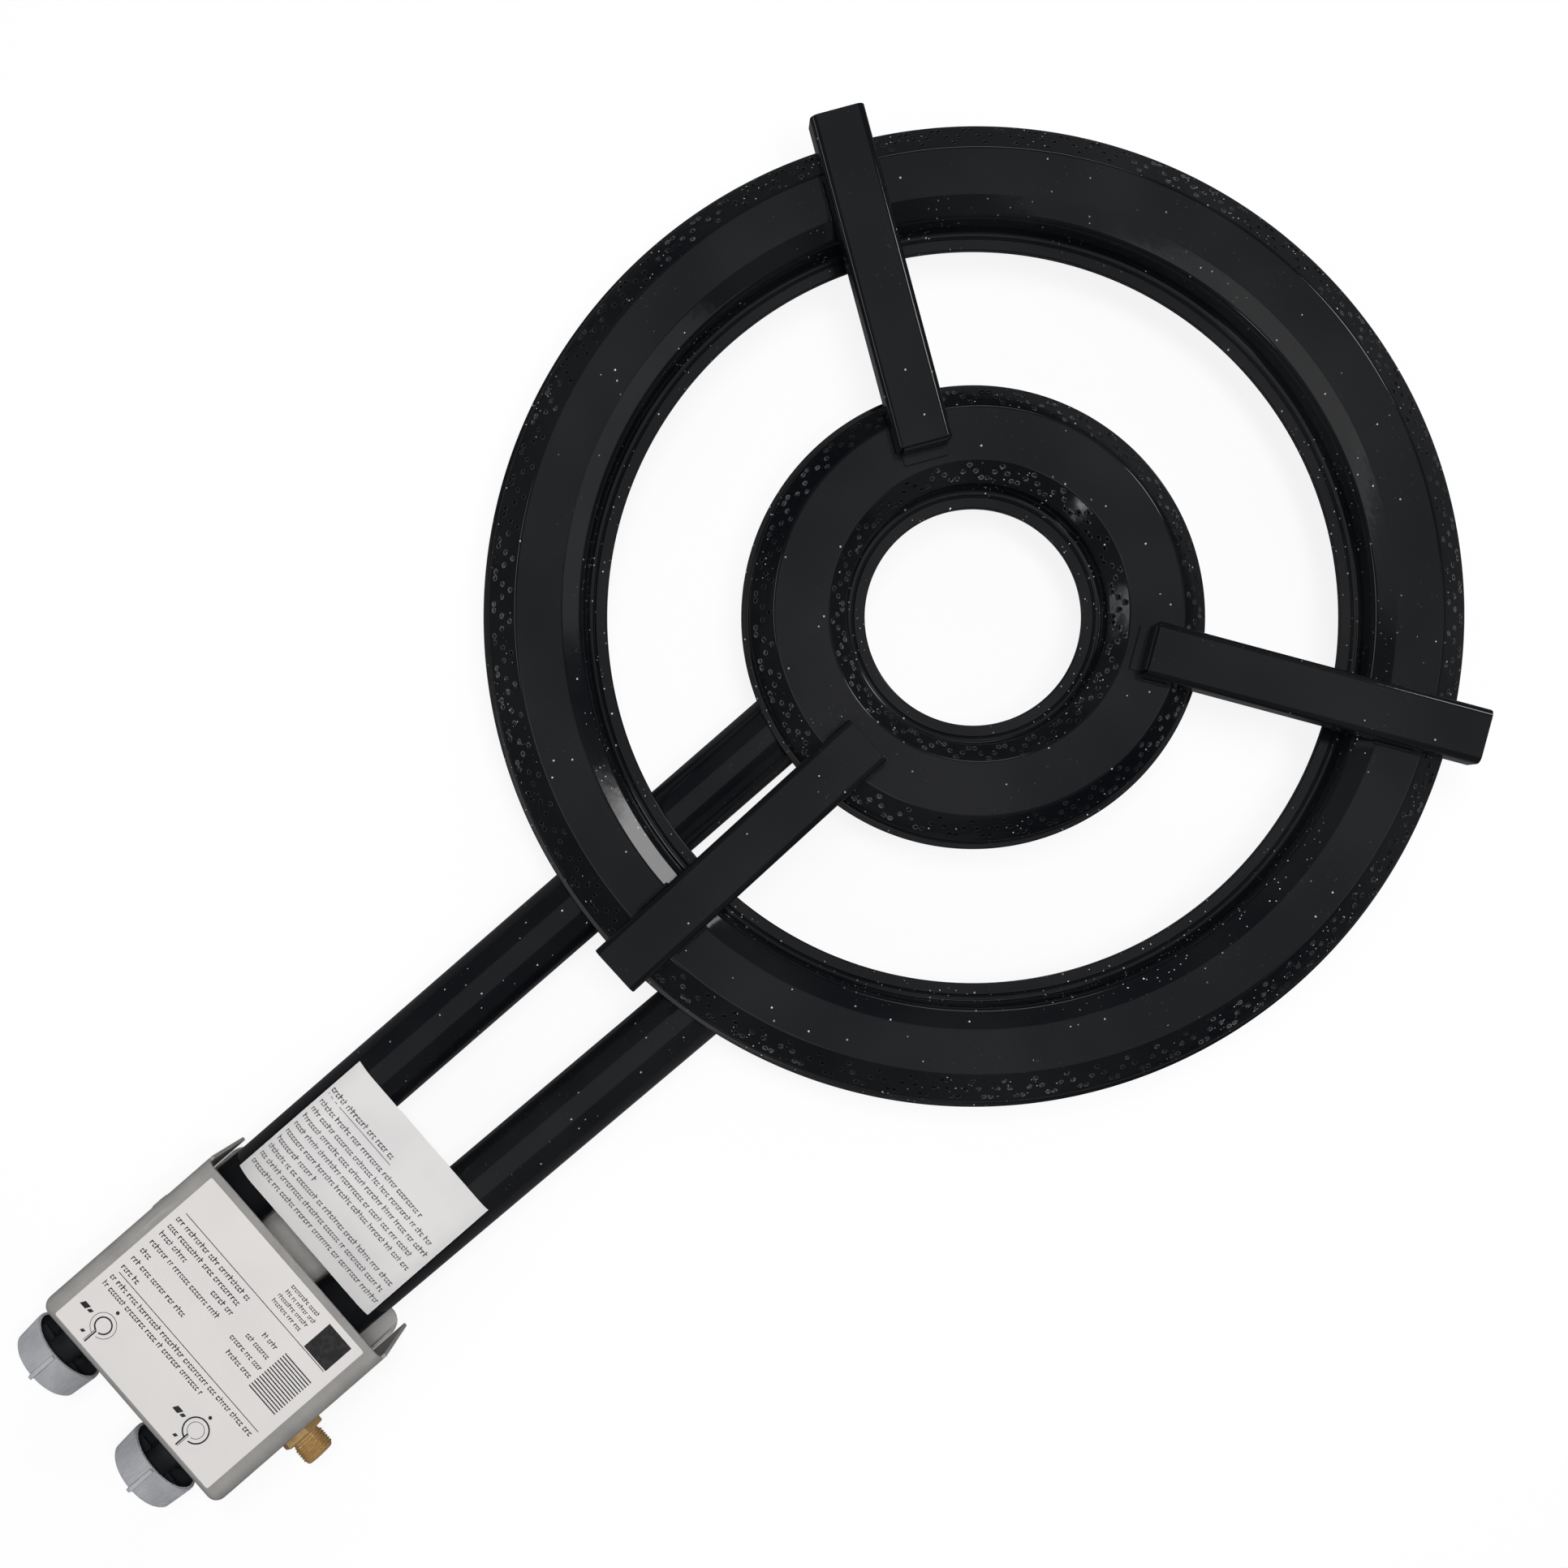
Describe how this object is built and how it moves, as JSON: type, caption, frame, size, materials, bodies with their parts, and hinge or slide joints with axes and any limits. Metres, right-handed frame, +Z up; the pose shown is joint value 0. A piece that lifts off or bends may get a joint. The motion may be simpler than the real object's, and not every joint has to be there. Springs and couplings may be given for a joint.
{
  "type": "outdoor gas burner",
  "caption": "Flat outdoor cooking burner: concentric perforated gas rings on long mixing tubes, pan support arms, and a control housing with push-and-turn taps.",
  "frame": {"origin": "on the ground plane, below the middle of the burner's bounding box; the underside of the housing is at z = 0", "axes": "+Y from the knobs towards the rings, +Z up, +X to the side of the gas inlet"},
  "size_m": [0.3799, 0.6614, 0.068],
  "materials": {
    "dark_enamel": "glossy blue-black vitreous enamel",
    "grey_paint": "satin mid-grey paint",
    "grey_plastic": "moulded light grey plastic",
    "brass": "turned and milled brass",
    "zinc_steel": "zinc-plated steel",
    "drawn_aluminium": "drawn aluminium",
    "white_paper": "printed white paper"
  },
  "bodies": {
    "burner_frame": {"outer_ring_top_shell": "dark_enamel", "inner_ring_top_shell": "dark_enamel", "outer_ring_base_plate": "dark_enamel", "inner_ring_base_plate": "dark_enamel", "left_support_arm": "dark_enamel", "right_support_arm": "dark_enamel", "handle_support_arm": "dark_enamel", "inner_mixing_tube": "dark_enamel", "outer_mixing_tube": "dark_enamel", "inner_tap_body": "brass", "inner_tap_bonnet": "brass", "inner_injector": "brass", "outer_tap_body": "brass", "outer_tap_bonnet": "brass", "outer_injector": "brass", "gas_inlet": "brass", "panel_nuts": "brass", "housing_screws": "zinc_steel", "cradle_screw": "zinc_steel", "inlet_lock_nut": "zinc_steel", "tube_cradle": "zinc_steel", "link_pipe": "drawn_aluminium", "housing_cover": "grey_paint", "housing_base": "grey_paint", "instruction_sheet": "white_paper"},
    "inner_tap_turn": {"inner_tap_plug": "brass", "inner_return_spring": "zinc_steel"},
    "inner_tap_press": {"inner_spindle": "zinc_steel", "inner_knob": "grey_plastic"},
    "outer_tap_turn": {"outer_tap_plug": "brass", "outer_return_spring": "zinc_steel"},
    "outer_tap_press": {"outer_spindle": "zinc_steel", "outer_knob": "grey_plastic"}
  },
  "joints": [
    {"name": "inner_knob_turn", "type": "hinge", "parent": "burner_frame", "child": "inner_tap_turn", "pos_m": [-0.0174, -0.30315, 0.021], "axis": [0, -1, 0], "range_deg": [0, 150]},
    {"name": "inner_knob_press", "type": "slide", "parent": "inner_tap_turn", "child": "inner_tap_press", "axis": [0, 1, 0], "range_m": [0, 0.0025], "stiffness_N_per_m": 800, "springref_m": -0.002, "deforming": ["inner_return_spring"]},
    {"name": "outer_knob_turn", "type": "hinge", "parent": "burner_frame", "child": "outer_tap_turn", "pos_m": [0.0408, -0.30315, 0.021], "axis": [0, -1, 0], "range_deg": [0, 150]},
    {"name": "outer_knob_press", "type": "slide", "parent": "outer_tap_turn", "child": "outer_tap_press", "axis": [0, 1, 0], "range_m": [0, 0.0025], "stiffness_N_per_m": 800, "springref_m": -0.002, "deforming": ["outer_return_spring"]}
  ]
}
